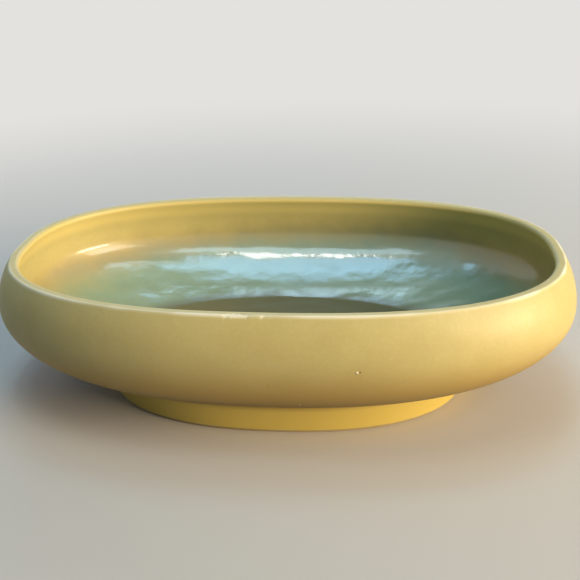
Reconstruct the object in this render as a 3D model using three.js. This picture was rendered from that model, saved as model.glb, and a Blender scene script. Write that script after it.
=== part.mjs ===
// An oval flower bowl of glazed earthenware: a low, softly squared oval with a full belly and a
// turned-in rim, on a low oval foot. Its pieces are the thin clay wall, the foot with the slip that
// joins it on, and the coats of glaze that cover them.
//
// Lengths are in millimetres. +Z is up, +X runs along the bowl's length, and the origin is at the
// middle of the plane that the foot rests on.

import * as THREE from "three";

// Overall size, measured over the glaze
const bowlLength = 305;
const bowlWidth = 190;
const bowlHeight = 76;

// Belly: the height of its widest level, and how far the wall turns in from there to the rim
const bellyHeight = 54;
const rimInset = 6.5;

// Angles of the belly's arcs at the rim and at the crease above the foot, in degrees
const rimAngle = 37;
const creaseAngle = 78;

// Wall and floor, measured over the glaze on both faces
const wallThickness = 5.6;
const floorThickness = 6;

// Flat floor of the well, and the angle of the inside's lower arc where it comes down to the floor
const wellFloorLength = 172;
const wellFloorWidth = 92;
const wellAngle = 44;

// Rounding of the lip's outer and inner edges
const lipOuterRound = 1.2;
const lipInnerRound = 2;

// Foot, measured over the glaze at its lower edge, and how far its faces lean apart to the top
const footLength = 194;
const footWidth = 130;
const footHeight = 18;
const footWall = 7;
const footDraft = 2;
const footEdgeRound = 0.8;

// Slip that joins the foot to the underside, and the bare band that the glaze leaves on the foot
const slipThickness = 0.8;
const dryFootHeight = 1.5;

// Glaze: its thickness, and the angle below the belly at which the two glazes meet inside
const glazeThickness = 0.6;
const glazeLineAngle = 15;

// Squareness of the ovals: 2 is an ellipse, and more is squarer
const rimSquareness = 2.45;
const bellySquareness = 2.5;
const footSquareness = 2.3;
const wellSquareness = 2;

// Steps round each oval and along each stretch of the profile
const ovalSteps = 64;
const lowerSteps = 6;
const upperSteps = 3;
const lipOuterSteps = 2;
const lipInnerSteps = 3;
const floorSteps = 5;

const { degToRad, radToDeg, lerp } = THREE.MathUtils;
const cosine = (angle) => Math.cos(degToRad(angle));
const sine = (angle) => Math.sin(degToRad(angle));

// An elliptical arc of the wall from the belly's widest level, where its tangent is upright, to the
// angle at which it ends: how far in and how far up or down it goes to there, and the squareness
// that its ovals have there
function arc(end, inLength, inWidth, up, squareness) {
  const turn = 1 - cosine(end);
  const reach = { length: inLength / turn, width: inWidth / turn };
  return { turn, reach, rise: up / sine(end), squareness };
}

const lipEdgeHeight = bowlHeight - lipOuterRound * (1 - sine(rimAngle));
const upperArc = arc(rimAngle, rimInset, rimInset, lipEdgeHeight - bellyHeight, rimSquareness);
const lowerArc = arc(
  creaseAngle,
  bowlLength / 2 - footLength / 2 - footDraft,
  bowlWidth / 2 - footWidth / 2 - footDraft,
  bellyHeight - footHeight,
  footSquareness,
);

// The lip's inner round meets the inside of the wall at this angle.
const innerRimAngle = radToDeg(
  Math.asin(
    (bowlHeight - lipInnerRound - bellyHeight) / (upperArc.rise - wallThickness + lipInnerRound),
  ),
);

// A level is one oval of a piece: half its length and width, its height and its squareness.
function level(halfLength, halfWidth, height, squareness) {
  return { halfLength, halfWidth, height, squareness };
}

// The same number of degrees apart, from one angle to another, with the last one and not the first
function anglesAfter(from, to, steps) {
  return Array.from({ length: steps }, (_, step) => lerp(from, to, (step + 1) / steps));
}

// The wall at an angle above (+) or below (-) the belly's widest level. inset is measured in from
// the outside of the belly, and growth is what the arc's reach and rise are larger by.
function wallLevel(angle, inset, along, growth) {
  const turn = 1 - cosine(angle);
  return level(
    bowlLength / 2 - inset - (along.reach.length + growth) * turn,
    bowlWidth / 2 - inset - (along.reach.width + growth) * turn,
    bellyHeight + (along.rise + growth) * sine(angle),
    lerp(bellySquareness, along.squareness, Math.min(1, turn / along.turn)),
  );
}

// The outside of the wall, at a depth under the glaze's surface
function outsideLevel(angle, depth) {
  return wallLevel(angle, depth, angle > 0 ? upperArc : lowerArc, -depth);
}

// The inside of the wall, at a depth under the glaze's surface. Below the widest level it has an
// arc of its own, so the wall grows thicker towards the foot.
const undersideHeight = outsideLevel(-creaseAngle, glazeThickness).height;
const floorHeight = undersideHeight - glazeThickness + floorThickness;
const wellArc = arc(
  wellAngle,
  bowlLength / 2 - wallThickness - wellFloorLength / 2,
  bowlWidth / 2 - wallThickness - wellFloorWidth / 2,
  bellyHeight - floorHeight,
  wellSquareness,
);
function insideLevel(angle, depth) {
  const inset = wallThickness - depth;
  if (angle > 0) return wallLevel(angle, inset, upperArc, -inset);
  return wallLevel(angle, inset, wellArc, depth);
}

// The angle at which the inside comes down to the floor, at a depth under the glaze's surface
function floorAngle(depth) {
  const drop = bellyHeight - floorHeight + depth;
  return -radToDeg(Math.asin(drop / (wellArc.rise + depth)));
}

// One edge of the lip, rounded about a point that lies a round's radius in from the wall's end
function lipLevel(wallEnd, radius, joinAngle, angle, depth) {
  const shift = (radius - depth) * cosine(angle) - radius * cosine(joinAngle);
  return level(
    wallEnd.halfLength + shift,
    wallEnd.halfWidth + shift,
    bowlHeight - radius + (radius - depth) * sine(angle),
    rimSquareness,
  );
}

// Over the lip, from the end of the outside to the start of the inside
function lipLevels(depth) {
  const outerEnd = outsideLevel(rimAngle, 0);
  const innerEnd = insideLevel(innerRimAngle, 0);
  const innerJoin = 180 + innerRimAngle;
  const outer = anglesAfter(rimAngle, 90, lipOuterSteps).map((angle) =>
    lipLevel(outerEnd, lipOuterRound, rimAngle, angle, depth),
  );
  const inner = [90, ...anglesAfter(90, innerJoin, lipInnerSteps)].map((angle) =>
    lipLevel(innerEnd, lipInnerRound, innerJoin, angle, depth),
  );
  return [...outer, ...inner];
}

// Up the outside from the crease above the foot, over the lip, and down to where the glazes meet
function outsideLevels(depth) {
  const angles = [
    -creaseAngle,
    ...anglesAfter(-creaseAngle, 0, lowerSteps),
    ...anglesAfter(0, rimAngle, upperSteps),
  ];
  const innerAngles = [...anglesAfter(innerRimAngle, 0, upperSteps), -glazeLineAngle];
  return [
    ...angles.map((angle) => outsideLevel(angle, depth)),
    ...lipLevels(depth),
    ...innerAngles.map((angle) => insideLevel(angle, depth)),
  ];
}

// From just under where the glazes meet, down the inside to the edge of the flat floor
function floorLevels(depth) {
  const angles = anglesAfter(-glazeLineAngle, floorAngle(depth), floorSteps);
  return angles.map((angle) => insideLevel(angle, depth));
}

// The middle of a flat oval, which closes a piece
function middleOf(edge) {
  return level(0, 0, edge.height, edge.squareness);
}

// The foot's outer face, at a height and at a depth under the glaze's surface
const footTop = undersideHeight - slipThickness;
function footOuterLevel(height, depth) {
  const lean = (footDraft * Math.min(height, footTop)) / footTop;
  return level(
    footLength / 2 - depth + lean,
    footWidth / 2 - depth + lean,
    height,
    footSquareness,
  );
}

// The foot's inner face, which leans the other way
function footInnerLevel(height, depth) {
  const lean = (footDraft * Math.min(height, footTop)) / footTop;
  return level(
    footLength / 2 - footWall + depth - lean,
    footWidth / 2 - footWall + depth - lean,
    height,
    footSquareness,
  );
}

// The points of one level, counter-clockwise from the end of its length. A level of no size is
// one point.
function levelPoints({ halfLength, halfWidth, height, squareness }) {
  if (halfLength === 0) return [new THREE.Vector3(0, 0, height)];
  return Array.from({ length: ovalSteps }, (_, step) => {
    const angle = (2 * Math.PI * step) / ovalSteps;
    const across = Math.abs(Math.cos(angle)) ** squareness;
    const along = Math.abs(Math.sin(angle)) ** squareness;
    const reach = (across + along) ** (-1 / squareness);
    return new THREE.Vector3(
      halfLength * Math.cos(angle) * reach,
      halfWidth * Math.sin(angle) * reach,
      height,
    );
  });
}

// Whether one level is above another, or is the wider of two at one height
function isAbove(first, second) {
  if (first.height !== second.height) return first.height > second.height;
  return first.halfLength > second.halfLength;
}

// A closed solid from its levels in order: up its outside and down its inside. Levels that start
// and end in a point close there, and others close in a ring. A facet's diagonal runs from a step
// of its lower level to the next step of its higher one, whichever of them comes first, so two
// pieces that touch have the same facets.
function loft(levels) {
  const rings = levels.map(levelPoints);
  const starts = rings.map((_, at) =>
    rings.slice(0, at).reduce((count, ring) => count + ring.length, 0),
  );
  const corner = (at, step) => starts[at] + (step % rings[at].length);
  const triangles = [];
  const closesInRing = rings[0].length > 1;
  for (let at = closesInRing ? 0 : 1; at < rings.length; at++) {
    const before = (at + rings.length - 1) % rings.length;
    const rises = isAbove(levels[at], levels[before]);
    for (let step = 0; step < ovalSteps; step++) {
      const next = step + 1;
      const [startStep, endStep] = rises ? [step, next] : [next, step];
      if (rings[before].length > 1) {
        triangles.push(corner(before, step), corner(before, next), corner(at, endStep));
      }
      if (rings[at].length > 1) {
        triangles.push(corner(before, startStep), corner(at, next), corner(at, step));
      }
    }
  }
  const geometry = new THREE.BufferGeometry().setFromPoints(rings.flat());
  geometry.setIndex(triangles);
  geometry.computeVertexNormals();
  return geometry;
}

function bowlBody() {
  const underside = [
    footInnerLevel(undersideHeight, glazeThickness),
    footOuterLevel(undersideHeight, glazeThickness),
  ];
  const wall = outsideLevels(glazeThickness);
  const floor = floorLevels(glazeThickness);
  return loft([middleOf(underside[0]), ...underside, ...wall, ...floor, middleOf(floor.at(-1))]);
}

function footRing() {
  const inner = footInnerLevel(0, glazeThickness + footEdgeRound);
  const outer = footOuterLevel(0, glazeThickness + footEdgeRound);
  const faceHeights = [footEdgeRound, dryFootHeight, footTop];
  return loft([
    inner,
    outer,
    ...faceHeights.map((height) => footOuterLevel(height, glazeThickness)),
    ...faceHeights.reverse().map((height) => footInnerLevel(height, glazeThickness)),
  ]);
}

function lutingSlip() {
  return loft([
    footInnerLevel(footTop, glazeThickness),
    footOuterLevel(footTop, glazeThickness),
    footOuterLevel(undersideHeight, glazeThickness),
    footInnerLevel(undersideHeight, glazeThickness),
  ]);
}

function outerGlaze() {
  const surface = [footOuterLevel(dryFootHeight, 0), ...outsideLevels(0)];
  const clay = [dryFootHeight, footTop, undersideHeight].map((height) =>
    footOuterLevel(height, glazeThickness),
  );
  return loft([...surface, ...[...clay, ...outsideLevels(glazeThickness)].reverse()]);
}

function linerGlaze() {
  const levelsAt = (depth) => [insideLevel(-glazeLineAngle, depth), ...floorLevels(depth)];
  const surface = levelsAt(0);
  const clay = levelsAt(glazeThickness);
  return loft([
    middleOf(clay.at(-1)),
    ...clay.reverse(),
    ...surface,
    middleOf(surface.at(-1)),
  ]);
}

function baseGlaze() {
  const surface = [undersideHeight - glazeThickness, dryFootHeight].map((height) =>
    footInnerLevel(height, 0),
  );
  const clay = [dryFootHeight, footTop, undersideHeight].map((height) =>
    footInnerLevel(height, glazeThickness),
  );
  return loft([middleOf(surface[0]), ...surface, ...clay, middleOf(clay.at(-1))]);
}

const buffClay = { color: "#d9c9a6", roughness: 0.9, metalness: 0 };
const chartreuseMatte = { color: "#bfae5e", roughness: 0.6, metalness: 0 };
const seaGreenGloss = { color: "#86a393", roughness: 0.3, metalness: 0 };

const pieces = [
  ["bowl_body", bowlBody(), buffClay],
  ["foot_ring", footRing(), buffClay],
  ["luting_slip", lutingSlip(), buffClay],
  ["outer_glaze", outerGlaze(), chartreuseMatte],
  ["liner_glaze", linerGlaze(), seaGreenGloss],
  ["base_glaze", baseGlaze(), chartreuseMatte],
];

const bowl = new THREE.Group();
for (const [name, geometry, finish] of pieces) {
  const piece = new THREE.Mesh(geometry, new THREE.MeshStandardMaterial(finish));
  piece.name = name;
  bowl.add(piece);
}

export default bowl;
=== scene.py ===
"""An oval flower bowl of glazed earthenware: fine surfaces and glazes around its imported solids."""

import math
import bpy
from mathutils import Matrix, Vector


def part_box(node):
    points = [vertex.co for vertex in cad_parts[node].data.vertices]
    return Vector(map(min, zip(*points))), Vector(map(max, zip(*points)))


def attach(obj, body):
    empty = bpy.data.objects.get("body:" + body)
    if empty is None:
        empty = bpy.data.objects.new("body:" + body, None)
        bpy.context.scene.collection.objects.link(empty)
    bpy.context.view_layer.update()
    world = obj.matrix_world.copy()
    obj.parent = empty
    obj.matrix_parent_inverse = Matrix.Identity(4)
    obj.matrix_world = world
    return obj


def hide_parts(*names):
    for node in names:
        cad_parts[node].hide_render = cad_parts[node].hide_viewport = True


bl_info = {
    "name": "Oval Flower Bowl",
    "version": (1, 0, 0),
    "blender": (4, 5, 0),
    "location": "View3D > Sidebar > Bowl",
    "description": "Models a glazed oval flower bowl around its solids, in a plain studio",
    "category": "Add Mesh",
}

import bpy
import numpy as np
from bpy.props import FloatProperty, FloatVectorProperty, IntProperty, PointerProperty
from mathutils import Matrix, Vector

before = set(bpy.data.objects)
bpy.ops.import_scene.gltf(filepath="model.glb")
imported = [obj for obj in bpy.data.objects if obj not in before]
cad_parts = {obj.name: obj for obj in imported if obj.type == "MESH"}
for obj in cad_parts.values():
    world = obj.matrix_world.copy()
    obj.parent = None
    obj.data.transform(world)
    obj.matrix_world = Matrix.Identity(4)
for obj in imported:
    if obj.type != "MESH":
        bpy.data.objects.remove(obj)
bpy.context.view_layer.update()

MM = 0.001
QUARTER, HALF, FULL = math.pi / 2, math.pi, 2 * math.pi
SENSOR_WIDTH = 36.0
# Faces that meet at a wider turn than this show an edge, and the others a round.
SHARP_TURN = math.radians(30)
# Steps in the round at the lower edge of the foot's glaze
BEAD_STEPS = 6


def linear(colour):
    """The linear RGBA of an sRGB hex colour, by the standard's two-part curve."""
    shares = [int(colour[at : at + 2], 16) / 255 for at in (1, 3, 5)]
    curve = [s / 12.92 if s <= 0.04045 else ((s + 0.055) / 1.055) ** 2.4 for s in shares]
    return (*curve, 1.0)


def size(name, description, millimetres):
    """A length that a user can change, given here in millimetres."""
    return FloatProperty(
        name=name, description=description, default=millimetres * MM, unit="LENGTH", precision=5
    )


def angle(name, description, degrees):
    """An angle that a user can change, given here in degrees."""
    return FloatProperty(
        name=name, description=description, default=math.radians(degrees), subtype="ANGLE"
    )


def number(name, description, value):
    return FloatProperty(name=name, description=description, default=value)


def colour(name, description, value):
    """A colour that a user can change, given here in sRGB hex."""
    return FloatVectorProperty(
        name=name, description=description, default=linear(value), size=4, subtype="COLOR"
    )


class BowlSizes(bpy.types.PropertyGroup):
    """The sizes of the bowl that its solids' boxes don't give."""

    belly_height: size("Belly height", "Height of the wall's widest level", 54)
    rim_inset: size("Rim inset", "How far the wall turns in up to the rim", 6.5)
    rim_angle: angle("Rim angle", "Angle of the upper arc at the rim", 37)
    crease_angle: angle("Crease angle", "Angle of the lower arc at the foot", 78)
    wall: size("Wall", "Thickness of the wall with its glaze", 5.6)
    floor_length: size("Floor length", "Length of the well's flat floor", 172)
    floor_width: size("Floor width", "Width of the well's flat floor", 92)
    well_angle: angle("Well angle", "Angle of the inside's lower arc at the floor", 44)
    lip_outer_round: size("Lip outer round", "Radius of the lip's outer edge", 1.2)
    lip_inner_round: size("Lip inner round", "Radius of the lip's inner edge", 2)
    foot_height: size("Foot height", "Height of the crease above the foot", 18)
    foot_wall: size("Foot wall", "Thickness of the foot at its lower edge", 7)
    foot_draft: size("Foot draft", "How far the foot's faces lean apart", 2)
    foot_edge_round: size("Foot edge round", "Radius of the foot's bare edges", 0.8)
    glaze: size("Glaze", "Thickness of a coat of glaze", 0.6)
    glaze_line: angle("Glaze line", "Where the glazes meet, below the widest level", 15)
    dry_foot: size("Dry foot", "Bare band at the foot's lower edge", 1.5)
    rim_squareness: number("Rim squareness", "2 is an ellipse, more is squarer", 2.45)
    belly_squareness: number("Belly squareness", "2 is an ellipse, more is squarer", 2.5)
    foot_squareness: number("Foot squareness", "2 is an ellipse, more is squarer", 2.3)
    well_squareness: number("Well squareness", "2 is an ellipse, more is squarer", 2)
    flake_x: size("Flake place", "Along the front lip, from its middle", -12.4)
    flake_length: size("Flake length", "Flake off the lip's outer edge", 13)
    flake_width: size("Flake width", "How far the flake reaches from the edge", 2.2)
    flake_depth: size("Flake depth", "How deep the flake is in the glaze", 0.3)
    steps: IntProperty(name="Steps", description="Steps round the bowl", default=440, min=64)


class GlazeFinish(bpy.types.PropertyGroup):
    """Colours of the glazes and the clay, and how uneven the firing left them."""

    chartreuse: colour("Chartreuse", "Matte glaze where it lies even", "#C6B673")
    ochre: colour("Ochre", "Browner clouds in the matte glaze", "#AE9450")
    cream: colour("Cream", "Matte glaze where it breaks thin over an edge", "#F2E8C4")
    # Amber is also painted shade on the lower outside wall, darker towards the foot.
    amber_and_painted_shade: colour("Amber", "Matte glaze low on the wall, where it runs thicker", "#B48E40")
    # Olive is glaze pooled in the crease, made darker there as painted shade.
    olive: colour("Olive", "Matte glaze where it pools in the crease", "#655024")
    foot_gold: colour("Foot gold", "Matte glaze on the foot", "#D8BC5A")
    # Gold is the glaze inside the rim, painted lighter than it as a band of light.
    gold: colour("Gold", "Matte glaze inside the rim", "#E0CA7E")
    tan: colour("Tan", "Where one glaze has run into the other", "#A89E6C")
    sea_green: colour("Sea green", "Glossy glaze inside", "#86A284")
    deep_green: colour("Deep green", "Darker clouds in the glossy glaze", "#7C987C")
    # Painted shade and dark reflection on the well's floor, darker than the glaze's own green.
    floor_painted_shade: colour("Floor olive", "Glossy glaze where it pools on the floor", "#4C4F3A")
    speck: colour("Speck", "Iron speck in the matte glaze", "#5E4A26")
    clay: colour("Clay", "Bare fired clay", "#BFA56C")
    wave: size("Wave", "Depth of the slow waves in the glossy glaze", 0.3)
    warp: size("Warp", "How far the ware moved in drying and firing", 0.3)


class StudioLook(bpy.types.PropertyGroup):
    """The camera at the photograph's angle, the floor and the light from all round."""

    distance: size("Distance", "From the camera to the point it looks at", 495.1)
    azimuth: angle("Azimuth", "Camera's turn to the right of the front", 5.88)
    elevation: angle("Elevation", "Camera's angle above the floor", 23.56)
    roll: angle("Roll", "Camera's lean to the right", -1.46)
    target_x: size("Target X", "The point that the camera looks at", 2.7)
    target_z: size("Target Z", "The point that the camera looks at", 50.1)
    lens: number("Lens", "Focal length in millimetres on a 36 mm sensor", 56.22)
    floor: colour("Floor", "Plain pale floor", "#CFC9BF")
    bounce: colour("Bounce", "Colour of the light that the floor throws back", "#8E9092")
    backdrop: colour("Backdrop", "Beyond the floor", "#E4E2DE")
    sky: colour("Sky", "Colour of the light from all round", "#C0D8F0")
    ambient: number("Ambient", "Strength of the light from all round", 0.15)


class BowlForm:
    """The bowl's shape. A profile is an array of levels in order, one a row: half length, half
    width, height and squareness. Angles are 0 at the wall's widest level and positive above it.
    A depth is how far a level lies under the surface of the glaze."""

    def __init__(self, sizes):
        self.sizes = sizes
        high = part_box("outer_glaze")[1]
        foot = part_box("foot_ring")[1]
        self.top = high.z
        self.half = np.array([high.x, high.y])
        self.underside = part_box("bowl_body")[0].z
        self.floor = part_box("liner_glaze")[0].z + sizes.glaze
        self.foot_top = foot.z
        self.foot_half = np.array([foot.x, foot.y]) - sizes.foot_draft + sizes.glaze
        rim, crease = sizes.rim_angle, sizes.crease_angle
        lip_edge = self.top - sizes.lip_outer_round * (1 - math.sin(rim))
        self.upper_reach = np.full(2, sizes.rim_inset / (1 - math.cos(rim)))
        self.upper_rise = (lip_edge - sizes.belly_height) / math.sin(rim)
        foot_top_half = self.foot_half + sizes.foot_draft
        self.lower_reach = (self.half - foot_top_half) / (1 - math.cos(crease))
        self.lower_rise = (sizes.belly_height - sizes.foot_height) / math.sin(crease)
        well_half = np.array([sizes.floor_length, sizes.floor_width]) / 2
        well_turn = 1 - math.cos(sizes.well_angle)
        self.well_reach = (self.half - sizes.wall - well_half) / well_turn
        self.well_rise = (sizes.belly_height - self.floor) / math.sin(sizes.well_angle)
        inner_rise = self.top - sizes.lip_inner_round - sizes.belly_height
        inner_radius = self.upper_rise - sizes.wall + sizes.lip_inner_round
        self.inner_rim_angle = math.asin(inner_rise / inner_radius)

    def wall(self, angles, half, upper_arc, lower_arc):
        """Two elliptical arcs, above and below the widest level, each given by its reach, rise,
        end angle and end squareness: half sizes are the widest ones less the reach times
        (1 - cosine), heights are the belly's plus the rise times the sine, and squareness goes
        from the belly's to the end's as the cosine falls."""
        sizes = self.sizes
        upper = angles > 0
        reach = np.where(upper[:, None], upper_arc[0], lower_arc[0])
        rise = np.where(upper, upper_arc[1], lower_arc[1])
        end = np.where(upper, upper_arc[2], lower_arc[2])
        far = np.where(upper, upper_arc[3], lower_arc[3])
        share = np.minimum(1, (1 - np.cos(angles)) / (1 - np.cos(end)))
        level_half = half - reach * (1 - np.cos(angles))[:, None]
        height = sizes.belly_height + rise * np.sin(angles)
        squareness = sizes.belly_squareness + (far - sizes.belly_squareness) * share
        return np.column_stack([level_half, height, squareness])

    def outside(self, angles, depth):
        """Levels of the wall's outer face at the angles."""
        sizes = self.sizes
        lower_end = (sizes.crease_angle, sizes.foot_squareness)
        lower_arc = (self.lower_reach - depth, self.lower_rise - depth, *lower_end)
        return self.wall(angles, self.half - depth, self.upper_arc(depth), lower_arc)

    def inside(self, angles, depth):
        """Levels of the wall's inner face at the angles."""
        sizes = self.sizes
        inset = sizes.wall - depth
        well_end = (sizes.well_angle, sizes.well_squareness)
        well_arc = (self.well_reach + depth, self.well_rise + depth, *well_end)
        return self.wall(angles, self.half - inset, self.upper_arc(inset), well_arc)

    def upper_arc(self, inset):
        """The arc up to the rim, which lies inside the outer face by the inset."""
        rim_end = (self.sizes.rim_angle, self.sizes.rim_squareness)
        return (self.upper_reach - inset, self.upper_rise - inset, *rim_end)

    def well_end(self, depth):
        """The angle at which the inside of the wall comes down to the floor."""
        drop = self.sizes.belly_height - self.floor + depth
        return -math.asin(drop / (self.well_rise + depth))

    def lip_round(self, wall_end, radius, join, angles, depth):
        """One edge of the lip: a circle of the radius less the depth, about the point that puts
        its joining angle on the end of the wall."""
        shift = (radius - depth) * np.cos(angles) - radius * math.cos(join)
        height = self.top - radius + (radius - depth) * np.sin(angles)
        half = wall_end[:2] + shift[:, None]
        return np.column_stack([half, height, np.full(len(angles), self.sizes.rim_squareness)])

    def outer_lip(self, angles, depth):
        """Levels of the lip's outer round at the angles."""
        sizes = self.sizes
        end = self.outside(np.array([sizes.rim_angle]), 0)[0]
        return self.lip_round(end, sizes.lip_outer_round, sizes.rim_angle, angles, depth)

    def inner_lip(self, angles, depth):
        """Levels of the lip's inner round at the angles."""
        end = self.inside(np.array([self.inner_rim_angle]), 0)[0]
        join = HALF + self.inner_rim_angle
        return self.lip_round(end, self.sizes.lip_inner_round, join, angles, depth)

    def lip(self, depth, outer_steps, crest_steps, inner_steps):
        """Over the lip: its outer round, its flat crest and its inner round."""
        outer = self.outer_lip(after(self.sizes.rim_angle, QUARTER, outer_steps), depth)
        inner_angles = np.linspace(QUARTER, HALF + self.inner_rim_angle, inner_steps + 1)
        inner = self.inner_lip(inner_angles, depth)
        return np.vstack([outer, between(outer[-1], inner[0], crest_steps), inner])

    def foot_face(self, heights, depth, side):
        """The foot's outer face (side 1) or inner face (side -1), which lean evenly apart."""
        sizes = self.sizes
        lean = sizes.foot_draft * np.minimum(heights, self.foot_top) / self.foot_top
        edge = self.foot_half if side > 0 else self.foot_half - sizes.foot_wall
        half = edge + (side * (lean - depth))[:, None]
        return np.column_stack([half, heights, np.full(len(heights), sizes.foot_squareness)])


def after(start, end, steps):
    """Evenly spaced values from start to end, with the end and not the start."""
    return np.linspace(start, end, steps + 1)[1:]


def between(first, last, steps):
    """Levels evenly spaced from the first to the last, with neither."""
    share = np.linspace(0, 1, steps + 2)[1:-1, None]
    return first + (last - first) * share


def bend(first, corner, last, steps):
    """Levels on the curve that leaves the first towards the corner and arrives at the last from
    it, with neither end: (1-t)^2 first + 2t(1-t) corner + t^2 last."""
    share = np.linspace(0, 1, steps + 2)[1:-1, None]
    return (1 - share) ** 2 * first + 2 * share * (1 - share) * corner + share**2 * last


def shrink(edge, steps, last_share=0.04):
    """A flat oval's levels from its edge inwards, down to a small share of its size."""
    half = edge[:2] * after(1, last_share, steps)[:, None]
    return np.column_stack([half, np.full(steps, edge[2]), np.full(steps, edge[3])])


def ovals(profile, angles):
    """The points of each level round the bowl: the half sizes times cosine and sine, times
    (|cosine|^n + |sine|^n)^(-1/n), which makes an oval of squareness n."""
    half_length, half_width, height, n = profile.T[:, :, None]
    cosine, sine = np.cos(angles), np.sin(angles)
    reach = (np.abs(cosine) ** n + np.abs(sine) ** n) ** (-1 / n)
    x, y = half_length * cosine * reach, half_width * sine * reach
    return np.stack([x, y, np.broadcast_to(height, x.shape)], axis=-1)


def ripples(points, shortest, longest, seed, count=24):
    """A smooth uneven field from -1 to 1: the hyperbolic tangent of a sum of sine waves in
    random directions, with wavelengths from the shortest to the longest."""
    random = np.random.default_rng(seed)
    directions = random.normal(size=(count, 3))
    directions /= np.linalg.norm(directions, axis=1)[:, None]
    waves = FULL * directions / random.uniform(shortest, longest, count)[:, None]
    total = np.sin(points @ waves.T + random.uniform(0, FULL, count)).sum(axis=-1)
    return np.tanh(total / math.sqrt(count / 2))


def ease(value, start, end):
    """0 up to the start, 1 past the end and 3t^2 - 2t^3 between, where t is the share of the
    way from the start to the end."""
    share = np.clip((value - start) / (end - start), 0, 1)
    return share * share * (3 - 2 * share)


def fired(points, form, amount):
    """The ware as drying and firing left it: each coordinate is drawn in by a share that varies
    in long waves over the bowl, and by the whole amount at most at its far side."""
    extent = np.array([*form.half, form.top])
    lengths = (120 * MM, 400 * MM)
    pull = np.stack([ripples(points, *lengths, seed) for seed in (11, 12, 13)], axis=-1)
    return points * (1 - amount * (1 + pull) / 2 / extent)


def turns(sizes, form):
    """Angles round the bowl, close together at the flake: evenly spaced values of the running sum
    of a density with one bump there, turned back to angles."""
    fine = np.linspace(0, FULL, 20001)
    flake = FULL - math.acos(sizes.flake_x / form.half[0])
    reach = 0.7 * sizes.flake_length / form.half[0]
    extra = 5
    density = 1 + extra * np.exp(-(((fine - flake) / reach) ** 4))
    total = np.cumsum(density) - density[0]
    return np.interp(np.linspace(0, total[-1], sizes.steps + 1)[:-1], total, fine)


def ring_normals(rings):
    """Outward normals of a grid of rings: across its two directions at each point."""
    along = np.gradient(rings, axis=0)
    around = np.roll(rings, -1, axis=1) - np.roll(rings, 1, axis=1)
    normals = np.cross(around, along)
    return normals / np.linalg.norm(normals, axis=-1, keepdims=True)


def closed_mesh(name, rings, capped, values=None):
    """A closed mesh from rings of points in order, with four-sided faces between them. A capped
    one ends in the middle of its first and its last ring, and another joins last to first."""
    count, steps = rings.shape[:2]
    grid = np.arange(count * steps).reshape(count, steps)
    lower, upper = (grid[:-1], grid[1:]) if capped else (grid, np.roll(grid, -1, axis=0))
    corners = [lower, np.roll(lower, -1, axis=1), np.roll(upper, -1, axis=1), upper]
    quads = np.stack(corners, axis=-1).reshape(-1, 4)
    points = rings.reshape(-1, 3)
    fans = np.zeros((0, 3), int)
    if capped:
        first, last = len(points), len(points) + 1
        points = np.vstack([points, rings[0].mean(axis=0), rings[-1].mean(axis=0)])
        start = np.stack([np.full(steps, first), np.roll(grid[0], -1), grid[0]], axis=-1)
        end = np.stack([np.full(steps, last), grid[-1], np.roll(grid[-1], -1)], axis=-1)
        fans = np.vstack([start, end])
    sides = np.repeat([4, 3], [len(quads), len(fans)])
    mesh = bpy.data.meshes.new(name)
    mesh.vertices.add(len(points))
    mesh.vertices.foreach_set("co", points.ravel())
    mesh.loops.add(sides.sum())
    mesh.loops.foreach_set("vertex_index", np.concatenate([quads.ravel(), fans.ravel()]))
    mesh.polygons.add(len(sides))
    mesh.polygons.foreach_set("loop_start", np.cumsum(sides) - sides)
    mesh.update(calc_edges=True)
    mesh.shade_smooth()
    mesh.set_sharp_from_angle(angle=SHARP_TURN)
    for value, amounts in (values or {}).items():
        spare = amounts[[0, -1], 0] if capped else amounts[:0, 0]
        attribute = mesh.attributes.new(value, "FLOAT", "POINT")
        attribute.data.foreach_set("value", np.concatenate([amounts.ravel(), spare]))
    piece = bpy.data.objects.new(name, mesh)
    bpy.context.scene.collection.objects.link(piece)
    return piece


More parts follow.
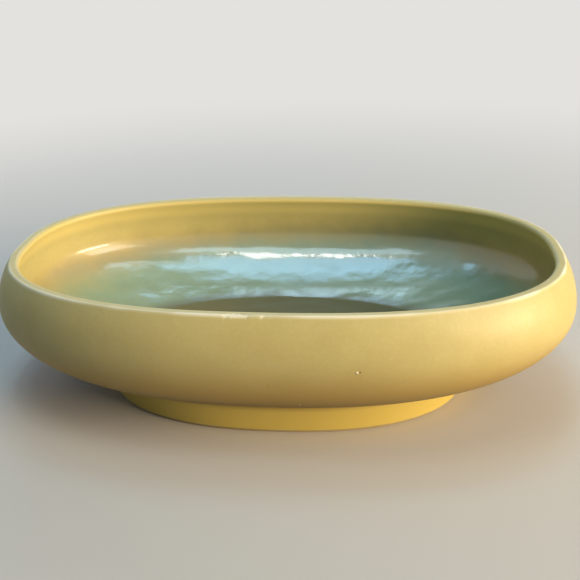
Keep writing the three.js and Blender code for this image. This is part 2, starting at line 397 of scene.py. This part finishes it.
class Ware:
    """The bowl's surfaces as grids of rings of points, from which each piece takes its own."""

    def __init__(self, context):
        self.sizes = context.scene.bowl_sizes
        self.finish = context.scene.bowl_finish
        self.form = BowlForm(self.sizes)
        self.angles = turns(self.sizes, self.form)

    def rings(self, profile):
        """The points of a profile's levels round the bowl, as the firing left them."""
        return fired(ovals(profile, self.angles), self.form, self.finish.warp)

    def clay_outside(self):
        """Levels of the clay under the matte glaze, from the crease to the glaze line inside."""
        form, sizes = self.form, self.sizes
        return np.vstack(
            [
                form.outside(np.linspace(-sizes.crease_angle, 0, 25), sizes.glaze),
                form.outside(after(0, sizes.rim_angle, 8), sizes.glaze),
                form.lip(sizes.glaze, 4, 1, 8),
                form.inside(after(form.inner_rim_angle, 0, 8), sizes.glaze),
                form.inside(after(0, -sizes.glaze_line, 4), sizes.glaze),
            ]
        )

    def clay_well(self):
        """Levels of the clay under the glossy glaze, from the glaze line to the floor's middle."""
        glaze = self.sizes.glaze
        wall_angles = np.linspace(-self.sizes.glaze_line, self.form.well_end(glaze), 21)
        wall = self.form.inside(wall_angles, glaze)
        return np.vstack([wall, shrink(wall[-1], 8)])

    def clay_foot(self, side):
        """Levels of the clay under the foot's glaze, up from the dry band."""
        heights = np.array([self.sizes.dry_foot, self.form.foot_top, self.form.underside])
        return self.form.foot_face(heights, self.sizes.glaze, side)

    def glazed_foot(self, side, top, steps):
        """Levels of the glaze up a face of the foot, from its rounded lower edge."""
        sizes = self.sizes
        bead = 0.6 * MM
        turn = after(0, QUARTER, BEAD_STEPS)
        heights = sizes.dry_foot + bead * (1 - np.cos(turn))
        edge = self.form.foot_face(heights, sizes.glaze * (1 - np.sin(turn)), side)
        face_heights = after(heights[-1], top, steps)
        return np.vstack([edge, self.form.foot_face(face_heights, np.zeros(steps), side)])

    def glazed_face(self):
        """The whole glazed face in one grid: up the foot and the outside, over the lip and down
        to the floor's middle. A bend of the glaze joins the wall to the foot, and another joins
        it to the floor. Gives the face's points, its named values and how many of its rings lead
        up to the glaze line."""
        form, sizes = self.form, self.sizes
        cove, cove_turn = 1.8 * MM, math.radians(2.5)
        line, line_step = -sizes.glaze_line, math.radians(0.3)
        foot = self.glazed_foot(1, sizes.foot_height - cove, 16)
        corner = form.outside(np.array([-sizes.crease_angle]), 0)[0]
        lower = form.outside(np.linspace(cove_turn - sizes.crease_angle, 0, 48), 0)
        upper = form.outside(after(0, sizes.rim_angle, 16), 0)
        lip_steps = (8, 6, 12)
        well_angles = after(line - line_step, form.well_end(0), 40)
        well = form.inside(np.append(line - line_step, well_angles), 0)
        floor = shrink(well[-1], 36)
        # How many of the floor's outer levels the bend to the wall takes the place of
        bent = 10
        parts = [
            foot,
            bend(foot[-1], corner, lower[0], 8),
            lower,
            upper,
            form.lip(0, *lip_steps),
            form.inside(after(form.inner_rim_angle, 0, 14), 0),
            form.inside(np.append(after(0, line + line_step, 8), line), 0),
            well[:-2],
            bend(well[-3], well[-1], floor[bent], 16),
            floor[bent:],
        ]
        ends = np.cumsum([len(part) for part in parts])
        to_widest, to_rim, to_line = ends[2], ends[3], ends[6]
        profile = np.vstack(parts)
        points = self.rings(profile)
        ring = np.arange(len(profile))

        # How many millimetres each ring lies below the rim inside, and how far it lies from the
        # middle of the lip's outer round
        is_inside = ring > to_rim + lip_steps[0]
        below_rim = np.where(is_inside, (form.top - profile[:, 2]) / MM, 0)
        edge_angle = math.radians(62)
        outer_edge = form.outer_lip(np.array([edge_angle]), 0)[0]
        from_edge = np.hypot(profile[:, 1] - outer_edge[1], profile[:, 2] - outer_edge[2])

        # The matte glaze lies thin over that round and the foot's lower edge, pools in the crease,
        # which is also painted darker there as shade, and is golden in a band inside the rim,
        # painted lighter there as a band of light.
        thin = np.exp(-((from_edge / (0.9 * MM)) ** 2)) + 0.3 * (ring < BEAD_STEPS)
        from_crease = profile[:, 2] - sizes.foot_height
        pool_and_shade_reach = np.where(from_crease > 0, 12 * MM, 3 * MM)
        pool_and_shade = np.where(ring < to_widest, np.exp(-((from_crease / pool_and_shade_reach) ** 2)), 0)
        gold = ease(below_rim, 0, 2) * ease(below_rim, 15, 6)
        flake = self.flake(points, from_edge)

        # The glossy glaze sinks in slow waves, and the matte glaze in a fifth of their depth.
        glossy = ease(below_rim, 16, 34)
        short = ripples(points, 12 * MM, 40 * MM, seed=21)
        long = ripples(points, 40 * MM, 110 * MM, seed=22)
        wave = self.finish.wave * (0.2 + 0.8 * glossy) * ease(ring, 0, 2 * BEAD_STEPS)
        relief = wave[:, None] * (0.5 * short + 0.5 * long - 1) / 2
        relief = relief - sizes.flake_depth * flake
        points = points + ring_normals(points) * relief[..., None]

        # How much lower the green sets in, in millimetres, at places along the bowl's length
        places, lags = (-130, -50, 80, 130), (7, 1, -5, 5)
        even = np.ones(points.shape[:2])
        values = {
            "below_rim": below_rim[:, None] * even,
            "lag": np.interp(points[..., 0] / MM, places, lags),
            "thin": thin[:, None] * (0.75 + 0.25 * short),
            "pool_and_shade": pool_and_shade[:, None] * even,
            "gold": gold[:, None] * even,
            "flake": flake,
        }
        return points, values, to_line

    def flake(self, points, from_edge):
        """0 to 1 in the flake and in a nick beside it, along the lip's outer edge: each reaches
        from the edge by its width times the square root of (1 - the squared share of its
        length), more or less by short ripples."""
        sizes = self.sizes
        ragged = 0.75 + 0.35 * ripples(points, 1.5 * MM, 5 * MM, seed=5)
        reach = np.zeros(points.shape[:2])
        nick = (11.8 * MM, 2.6 * MM)
        for place, length in ((0, sizes.flake_length), nick):
            along = (points[..., 0] - sizes.flake_x - place) / (length / 2)
            reach = np.maximum(reach, np.sqrt(np.clip(1 - along**2, 0, 1)))
        depth = sizes.flake_width * reach * ragged - from_edge[:, None]
        return np.where(points[..., 1] < 0, ease(depth, 0, 0.6 * MM), 0)


def with_clay(values, first, last, steps):
    """A coat's named values, with rings of zeros for its clay side first or last."""
    return {
        name: np.vstack([np.zeros((first, steps)), amounts, np.zeros((last, steps))])
        for name, amounts in values.items()
    }


def dress(piece, material, node):
    """Gives a piece its material and body, and hides the node that it takes the place of."""
    piece.data.materials.append(material)
    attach(piece, "root")
    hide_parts(node)


# Sockets of a Mix node that mixes two colours
FACTOR, FIRST, SECOND, MIXED = 0, 6, 7, 2


def add_node(tree, kind, inputs=None, output=0, **settings):
    """Adds a node with its settings, with each input set or linked, and gives one output."""
    made = tree.nodes.new("ShaderNode" + kind)
    for name, value in settings.items():
        setattr(made, name, value)
    for name, value in (inputs or {}).items():
        if isinstance(value, bpy.types.NodeSocket):
            tree.links.new(value, made.inputs[name])
        else:
            made.inputs[name].default_value = value
    return made.outputs[output]


def new_material(name):
    """An empty material's node tree, with the place on the piece that its patterns are read at."""
    material = bpy.data.materials.new(name)
    material.use_nodes = True
    tree = material.node_tree
    tree.nodes.clear()
    return material, tree, add_node(tree, "TexCoord", output="Object")


def use_shader(tree, shader):
    output = tree.nodes.new("ShaderNodeOutputMaterial")
    tree.links.new(shader, output.inputs["Surface"])


def glaze_material(name, finish):
    """Earthenware glaze, sprayed on and fired once. Where it lies thin it fires to a matte skin,
    which gives the eye a broad soft sheen, faint brown clouds 14 mm across, a mottle of 2 mm and
    a stipple of 1 mm like fine leather. Where it ran down into the well it is thick, and a clear
    glassy coat lies over it, which gives sharp highlights with a haze round them. They follow
    the glaze's slow waves and an orange peel of 9 mm, which levels out where the glaze pools on
    the floor."""
    material, tree, place = new_material(name)
    below_rim, lag, thin, pool_and_shade, gold, flake = [
        add_node(tree, "Attribute", output="Fac", attribute_name=value)
        for value in ("below_rim", "lag", "thin", "pool_and_shade", "gold", "flake")
    ]
    clouds, peel, mottle, stipple = [
        add_node(tree, "TexNoise", {"Vector": place, "Scale": 1 / (across * MM), "Detail": 2.0})
        for across in (14, 9, 2, 1)
    ]
    height = add_node(tree, "SeparateXYZ", {"Vector": place}, "Z")

    # The run from the matte glaze to the glossy one lies up to 4 mm higher or lower with the
    # clouds, and the green in it sets in lower by the lag.
    uneven = add_node(tree, "Math", {0: clouds, 1: 8.0, 2: -4.0}, operation="MULTIPLY_ADD")
    run = add_node(tree, "Math", {0: below_rim, 1: uneven}, operation="ADD")
    green_run = add_node(tree, "Math", {0: run, 1: lag}, operation="SUBTRACT")

    # Shares that grow from the first value to the last: the gloss, the glassy coat, the tan and
    # the green along the run, and the darker green with the clouds
    to_gloss, to_coat, to_tan, to_green, clouded = [
        add_node(
            tree,
            "MapRange",
            {"Value": value, "From Min": first, "From Max": last},
            interpolation_type="SMOOTHSTEP",
        )
        for value, first, last in (
            (run, 14, 31),
            (run, 18, 33),
            (green_run, 14, 31),
            (green_run, 21, 41),
            (clouds, 0.3, 0.8),
        )
    ]
    greens = add_node(
        tree,
        "Mix",
        {FACTOR: clouded, FIRST: finish.sea_green, SECOND: finish.deep_green},
        MIXED,
        data_type="RGBA",
    )

    # Layers over the even matte glaze, each with its colour, the value that it grows with, the
    # values where it starts and is full, and its strength when full
    floor_start, floor_full = 48.5, 52.2
    layers = [
        (finish.ochre, clouds, 0.35, 0.7, 0.15),
        (finish.cream, mottle, 0.4, 0.75, 0.05),
        # Painted shade: the wall grows darker from 58 mm down to 32 mm.
        (finish.amber_and_painted_shade, height, 58 * MM, 32 * MM, 0.8),
        # Pooled glaze in the crease, with painted shade there
        (finish.olive, pool_and_shade, 0, 1, 0.85),
        (finish.foot_gold, height, 17 * MM, 12 * MM, 1),
        # Golden glaze inside the rim, painted lighter as a band of light
        (finish.gold, gold, 0, 1, 1),
        (finish.tan, to_tan, 0, 1, 1),
        (greens, to_green, 0, 1, 1),
        # Painted shade and dark reflection on the floor of the well
        (finish.floor_painted_shade, below_rim, floor_start, floor_full, 0.9),
        (finish.cream, thin, 0, 1, 1),
        (finish.cream, flake, 0, 1, 0.9),
    ]
    body = finish.chartreuse
    for tint, value, first, last, strength in layers:
        share = add_node(
            tree,
            "MapRange",
            {"Value": value, "From Min": first, "From Max": last, "To Max": strength},
            interpolation_type="SMOOTHSTEP",
        )
        body = add_node(
            tree, "Mix", {FACTOR: share, FIRST: body, SECOND: tint}, MIXED, data_type="RGBA"
        )

    # The matte skin's stipple gives way to the orange peel of the thick glaze, which lies
    # nearly level on the floor.
    roughness = add_node(tree, "MapRange", {"Value": to_gloss, "To Min": 0.5, "To Max": 0.3})
    skin = add_node(tree, "MapRange", {"Value": to_gloss, "To Min": 0.05 * MM, "To Max": 0.0})
    on_floor = {"Value": below_rim, "From Min": floor_start, "From Max": floor_full}
    levelled = {"To Min": 0.15 * MM, "To Max": 0.04 * MM}
    peel_depth = add_node(tree, "MapRange", {**on_floor, **levelled})
    orange_peel = add_node(tree, "Math", {0: to_gloss, 1: peel_depth}, operation="MULTIPLY")
    normal = add_node(tree, "Bump", {"Height": stipple, "Distance": skin})
    normal = add_node(tree, "Bump", {"Height": peel, "Distance": orange_peel, "Normal": normal})

    # Blemishes, each round its own point and stretched across the wall so that it reaches the
    # surface: colour, height of its bump, radius and place, in millimetres
    blemishes = [
        (finish.cream, 0.3, 0.9, (41.5, -93.4, 50.9)),
        (finish.speck, -0.1, 0.6, (42.9, -93.3, 51.0)),
        (finish.amber_and_painted_shade, 0.0, 0.7, (0.8, -93.1, 43.2)),
        (finish.amber_and_painted_shade, 0.0, 0.7, (1.1, -92.9, 41.6)),
        (finish.cream, 0.2, 0.6, (14.8, -84.9, 28.4)),
    ]
    across_wall = 0.3
    for tint, raised, radius, (x, y, z) in blemishes:
        shift = (-x * MM, -across_wall * y * MM, -z * MM)
        offset = add_node(
            tree,
            "VectorMath",
            {0: place, 1: (1, across_wall, 1), 2: shift},
            operation="MULTIPLY_ADD",
        )
        distance = add_node(tree, "VectorMath", {0: offset}, "Value", operation="LENGTH")
        spot = add_node(
            tree,
            "MapRange",
            {"Value": distance, "From Min": radius * MM, "From Max": 0.3 * radius * MM},
            interpolation_type="SMOOTHSTEP",
        )
        body = add_node(
            tree, "Mix", {FACTOR: spot, FIRST: body, SECOND: tint}, MIXED, data_type="RGBA"
        )
        normal = add_node(
            tree, "Bump", {"Height": spot, "Distance": raised * MM, "Normal": normal}
        )
    shader = add_node(
        tree,
        "BsdfPrincipled",
        {
            "Base Color": body,
            "Roughness": roughness,
            "IOR": 1.6,
            "Specular IOR Level": 0.4,
            "Normal": normal,
            "Coat Weight": to_coat,
            "Coat Roughness": 0.13,
            "Coat IOR": 1.7,
            "Coat Normal": normal,
        },
    )
    use_shader(tree, shader)
    return material


def clay_material(finish):
    """Buff earthenware, cast and fired, wiped dry of glaze, which gives the eye a chalky body
    with a slightly browner grain. The real grain is finer than the 0.6 mm that it is drawn at,
    and wouldn't show."""
    material, tree, place = new_material("fired buff earthenware")
    grain = add_node(tree, "TexNoise", {"Vector": place, "Scale": 1 / (0.6 * MM), "Detail": 3.0})
    tone = add_node(
        tree, "MapRange", {"Value": grain, "From Min": 0.3, "From Max": 0.7, "To Max": 0.35}
    )
    body = add_node(
        tree,
        "Mix",
        {FACTOR: tone, FIRST: finish.clay, SECOND: finish.ochre},
        MIXED,
        data_type="RGBA",
    )
    normal = add_node(tree, "Bump", {"Height": grain, "Distance": 0.06 * MM})
    shader = add_node(
        tree,
        "BsdfPrincipled",
        {"Base Color": body, "Roughness": 0.9, "IOR": 1.5, "Normal": normal},
    )
    use_shader(tree, shader)
    return material


class BOWL_OT_clay(bpy.types.Operator):
    """Adds the clay: the cast wall, the foot ring and the slip between them"""

    bl_idname = "bowl.clay"
    bl_label = "Clay"

    def execute(self, context):
        ware = Ware(context)
        form, sizes = ware.form, ware.sizes
        material = clay_material(ware.finish)
        glaze = sizes.glaze

        seat = np.full(1, form.underside)
        recess_edge = form.foot_face(seat, glaze, -1)
        foot_edge = form.foot_face(seat, glaze, 1)
        wall_levels = np.vstack(
            [
                shrink(recess_edge[0], 8)[::-1],
                recess_edge,
                between(recess_edge[0], foot_edge[0], 2),
                ware.clay_outside(),
                ware.clay_well()[1:],
            ]
        )
        wall = closed_mesh("cast_wall", ware.rings(wall_levels), capped=True)
        dress(wall, material, "bowl_body")

        turn = np.linspace(0, QUARTER, 6)
        edge_depths = glaze + sizes.foot_edge_round * (1 - np.sin(turn))
        edge_heights = sizes.foot_edge_round * (1 - np.cos(turn))
        face_steps = 8
        face_heights = after(sizes.foot_edge_round, form.foot_top, face_steps)
        heights = np.append(edge_heights, face_heights)
        depths = np.append(edge_depths, np.full(face_steps, glaze))
        outer = form.foot_face(heights, depths, 1)
        inner = form.foot_face(heights, depths, -1)
        foot_levels = np.vstack(
            [
                between(inner[0], outer[0], 3),
                outer,
                between(outer[-1], inner[-1], 3),
                inner[::-1],
            ]
        )
        foot = closed_mesh("foot_wall", ware.rings(foot_levels), capped=False)
        dress(foot, material, "foot_ring")

        faces = np.array([form.foot_top, form.underside])
        slip_outer = form.foot_face(faces, glaze, 1)
        slip_inner = form.foot_face(faces, glaze, -1)
        slip_levels = np.vstack([slip_outer, slip_inner[::-1]])
        slip = closed_mesh("foot_slip", ware.rings(slip_levels), capped=False)
        dress(slip, material, "luting_slip")
        return {"FINISHED"}


class BOWL_OT_glazes(bpy.types.Operator):
    """Adds the matte glaze outside and over the lip, and the glossy glaze in the well"""

    bl_idname = "bowl.glazes"
    bl_label = "Glazes"

    def execute(self, context):
        ware = Ware(context)
        face, values, to_line = ware.glazed_face()
        steps = len(ware.angles)

        clay = np.vstack([ware.clay_foot(1), ware.clay_outside()[1:]])
        rings = np.concatenate([face[:to_line], ware.rings(clay[::-1])])
        outer_values = {name: amounts[:to_line] for name, amounts in values.items()}
        outer = closed_mesh(
            "matte_glaze", rings, False, with_clay(outer_values, 0, len(clay), steps)
        )
        dress(
            outer, glaze_material("matte sprayed glaze", ware.finish), "outer_glaze"
        )

        # The glossy glaze starts with the last ring of the matte one.
        well = ware.clay_well()
        rings = np.concatenate([ware.rings(well[::-1]), face[to_line - 1 :]])
        inner_values = {name: amounts[to_line - 1 :] for name, amounts in values.items()}
        inner = closed_mesh(
            "gloss_glaze", rings, True, with_clay(inner_values, len(well), 0, steps)
        )
        dress(
            inner, glaze_material("glossy pooled glaze", ware.finish), "liner_glaze"
        )
        return {"FINISHED"}


class BOWL_OT_recess_glaze(bpy.types.Operator):
    """Adds the glaze inside the foot's recess"""

    bl_idname = "bowl.recess_glaze"
    bl_label = "Recess glaze"

    def execute(self, context):
        ware = Ware(context)
        form, sizes = ware.form, ware.sizes
        roof_height = form.underside - sizes.glaze
        cove = 2.5 * MM
        face = ware.glazed_foot(-1, roof_height - cove, 10)[::-1]
        corner = form.foot_face(np.array([roof_height]), np.zeros(1), -1)[0]
        roof = shrink(corner, 24)
        surface = np.vstack([roof[::-1], bend(roof[0], corner, face[0], 7), face])
        clay = ware.clay_foot(-1)
        levels = np.vstack([surface, clay, shrink(clay[-1], 8)])
        recess = closed_mesh("recess_glaze", ware.rings(levels), capped=True)
        dress(
            recess, glaze_material("matte recess glaze", ware.finish), "base_glaze"
        )
        return {"FINISHED"}


# Soft boxes aimed at the bowl: azimuth to the right of the front and elevation in degrees,
# distance, width and height in metres, power in watts and colour
SOFT_BOXES = {
    "key": (67, 11, 1.6, 0.8, 0.36, 31, "#FFE8C6"),
    "top": (60, 38, 1.8, 1.0, 0.8, 13, "#FFF4E4"),
    "fill": (-60, 30, 2.0, 1.2, 1.0, 0.6, "#E0ECFF"),
    "back": (190, 28, 2.0, 1.2, 0.8, 8, "#E8F2FF"),
}
# Panels in the ceiling, which the glossy glaze reflects: centre along X and Y in metres, turn in
# degrees, width and length in metres, power in watts and colour
CEILING = 1.45
PANELS = {
    "near_pane": (-0.13, 0.275, 0, 0.18, 0.49, 1.7, "#98D4FF"),
    "middle_pane": (-0.155, 0.59, 0, 0.13, 0.14, 0.25, "#98D4FF"),
    "far_pane": (-0.13, 0.91, 0, 0.05, 0.16, 0.22, "#C0E8FF"),
    "back_pane": (-0.115, 1.02, 0, 0.06, 0.36, 0.3, "#98D4FF"),
    "left_strip": (-0.02, 0.41, 0, 0.14, 0.1, 0.35, "#98D4FF"),
    "left_pane": (0.14, 0.46, 0, 0.3, 0.4, 1.9, "#C0E8FF"),
    "front_pane": (-0.12, -0.33, 0, 0.5, 0.34, 2.0, "#C8ECFF"),
    "side_pane": (-0.39, 0.55, -18, 0.06, 0.7, 1.1, "#98D4FF"),
    "tube": (-0.13, -0.08, 0, 0.05, 0.14, 0.6, "#FFFFFF"),
}


def towards(azimuth, elevation, distance):
    """The point at a distance from the middle of the scene, to the right of the front by the
    azimuth and up by the elevation."""
    level = distance * math.cos(elevation)
    return Vector(
        (level * math.sin(azimuth), -level * math.cos(azimuth), distance * math.sin(elevation))
    )


class BOWL_OT_studio(bpy.types.Operator):
    """Adds the floor, the soft lamps, the light from all round and the camera"""

    bl_idname = "bowl.studio"
    bl_label = "Studio"

    def execute(self, context):
        look = context.scene.bowl_look
        target = Vector((look.target_x, 0, look.target_z))
        self.add_camera(context, look, target)
        self.add_floor(context, look)
        self.add_lamps(context, target)
        self.light_world(context, look)
        context.scene.view_settings.view_transform = "Standard"
        return {"FINISHED"}

    def add_camera(self, context, look, target):
        data = bpy.data.cameras.new("camera")
        data.sensor_width = SENSOR_WIDTH
        data.lens = look.lens
        data.clip_start = 0.01
        camera = bpy.data.objects.new("camera", data)
        context.scene.collection.objects.link(camera)
        place = target + towards(look.azimuth, look.elevation, look.distance)
        turn = (target - place).to_track_quat("-Z", "Y").to_matrix().to_4x4()
        camera.matrix_world = (
            Matrix.Translation(place) @ turn @ Matrix.Rotation(look.roll, 4, "Z")
        )
        context.scene.camera = camera

    def add_floor(self, context, look):
        """A matte painted board, which gives the eye an even pale ground and throws back a
        darker, cooler light. To the camera it goes over into the backdrop away from the bowl."""
        reach = 5.0
        mesh = bpy.data.meshes.new("floor")
        mesh.from_pydata(
            [(-reach, -reach, 0), (reach, -reach, 0), (reach, reach, 0), (-reach, reach, 0)],
            [],
            [(0, 1, 2, 3)],
        )
        floor = bpy.data.objects.new("floor", mesh)
        context.scene.collection.objects.link(floor)
        material, tree, place = new_material("matte painted board")
        seen = self.seen_rays(tree)
        paint = add_node(
            tree,
            "Mix",
            {FACTOR: seen, FIRST: look.bounce, SECOND: look.floor},
            MIXED,
            data_type="RGBA",
        )
        board = add_node(tree, "BsdfPrincipled", {"Base Color": paint, "Roughness": 0.8})
        from_bowl = add_node(tree, "VectorMath", {0: place}, "Value", operation="LENGTH")
        near, far = 0.15, 0.8
        away = add_node(
            tree,
            "MapRange",
            {"Value": from_bowl, "From Min": near, "From Max": far},
            interpolation_type="SMOOTHSTEP",
        )
        camera_ray = add_node(tree, "LightPath", output="Is Camera Ray")
        share = add_node(tree, "Math", {0: away, 1: camera_ray}, operation="MULTIPLY")
        backdrop = add_node(tree, "Emission", {"Color": look.backdrop})
        shader = add_node(tree, "MixShader", {0: share, 1: board, 2: backdrop})
        use_shader(tree, shader)
        mesh.materials.append(material)

    def add_lamps(self, context, target):
        for name, (azimuth, elevation, distance, *lamp) in SOFT_BOXES.items():
            away = towards(math.radians(azimuth), math.radians(elevation), distance)
            turn = (-away).to_track_quat("-Z", "Y").to_matrix().to_4x4()
            self.add_lamp(context, name, Matrix.Translation(target + away) @ turn, *lamp)
        for name, (x, y, turn, *lamp) in PANELS.items():
            turn = Matrix.Rotation(math.radians(turn), 4, "Z")
            self.add_lamp(context, name, Matrix.Translation((x, y, CEILING)) @ turn, *lamp)

    def add_lamp(self, context, name, place, width, height, power, tint):
        data = bpy.data.lights.new(name, "AREA")
        data.shape = "RECTANGLE"
        data.size, data.size_y = width, height
        data.energy = power
        data.color = linear(tint)[:3]
        light = bpy.data.objects.new(name, data)
        context.scene.collection.objects.link(light)
        light.matrix_world = place
        light.visible_camera = False

    def seen_rays(self, tree):
        """1 where a surface is seen directly, in a reflection or through glass, and 0 where it
        only lights another surface."""
        camera_ray = add_node(tree, "LightPath", output="Is Camera Ray")
        rays = camera_ray.node.outputs
        seen = add_node(
            tree, "Math", {0: camera_ray, 1: rays["Is Glossy Ray"]}, operation="MAXIMUM"
        )
        return add_node(
            tree, "Math", {0: seen, 1: rays["Is Transmission Ray"]}, operation="MAXIMUM"
        )

    def light_world(self, context, look):
        """The backdrop's colour where it is seen directly, in a reflection or through glass, and
        the sky's colour at the ambient strength where it only lights a surface."""
        world = bpy.data.worlds.new("studio")
        context.scene.world = world
        world.use_nodes = True
        tree = world.node_tree
        tree.nodes.clear()
        seen = self.seen_rays(tree)
        tint = add_node(
            tree,
            "Mix",
            {FACTOR: seen, FIRST: look.sky, SECOND: look.backdrop},
            MIXED,
            data_type="RGBA",
        )
        strength = add_node(
            tree, "MapRange", {"Value": seen, "To Min": look.ambient, "To Max": 1.0}
        )
        light = add_node(tree, "Background", {"Color": tint, "Strength": strength})
        output = tree.nodes.new("ShaderNodeOutputWorld")
        tree.links.new(light, output.inputs["Surface"])


class BOWL_PT_panel(bpy.types.Panel):
    """Lists the bowl's steps in order, with its sizes and colours"""

    bl_label = "Oval Flower Bowl"
    bl_idname = "BOWL_PT_panel"
    bl_space_type = "VIEW_3D"
    bl_region_type = "UI"
    bl_category = "Bowl"

    def draw(self, context):
        for step in STEPS:
            self.layout.operator(step.bl_idname)
        scene = context.scene
        for group in (scene.bowl_sizes, scene.bowl_finish, scene.bowl_look):
            box = self.layout.box()
            for name in group.__annotations__:
                box.prop(group, name)


GROUPS = {"bowl_sizes": BowlSizes, "bowl_finish": GlazeFinish, "bowl_look": StudioLook}
STEPS = [BOWL_OT_studio, BOWL_OT_clay, BOWL_OT_glazes, BOWL_OT_recess_glaze]


def register():
    for kind in (*GROUPS.values(), *STEPS, BOWL_PT_panel):
        bpy.utils.register_class(kind)
    for name, group in GROUPS.items():
        setattr(bpy.types.Scene, name, PointerProperty(type=group))


def unregister():
    for name in GROUPS:
        delattr(bpy.types.Scene, name)
    for kind in (BOWL_PT_panel, *reversed(STEPS), *reversed(GROUPS.values())):
        bpy.utils.unregister_class(kind)


def main():
    register()
    bpy.ops.bowl.studio()
    bpy.ops.bowl.clay()
    bpy.ops.bowl.glazes()
    bpy.ops.bowl.recess_glaze()


if __name__ == "__main__":
    main()
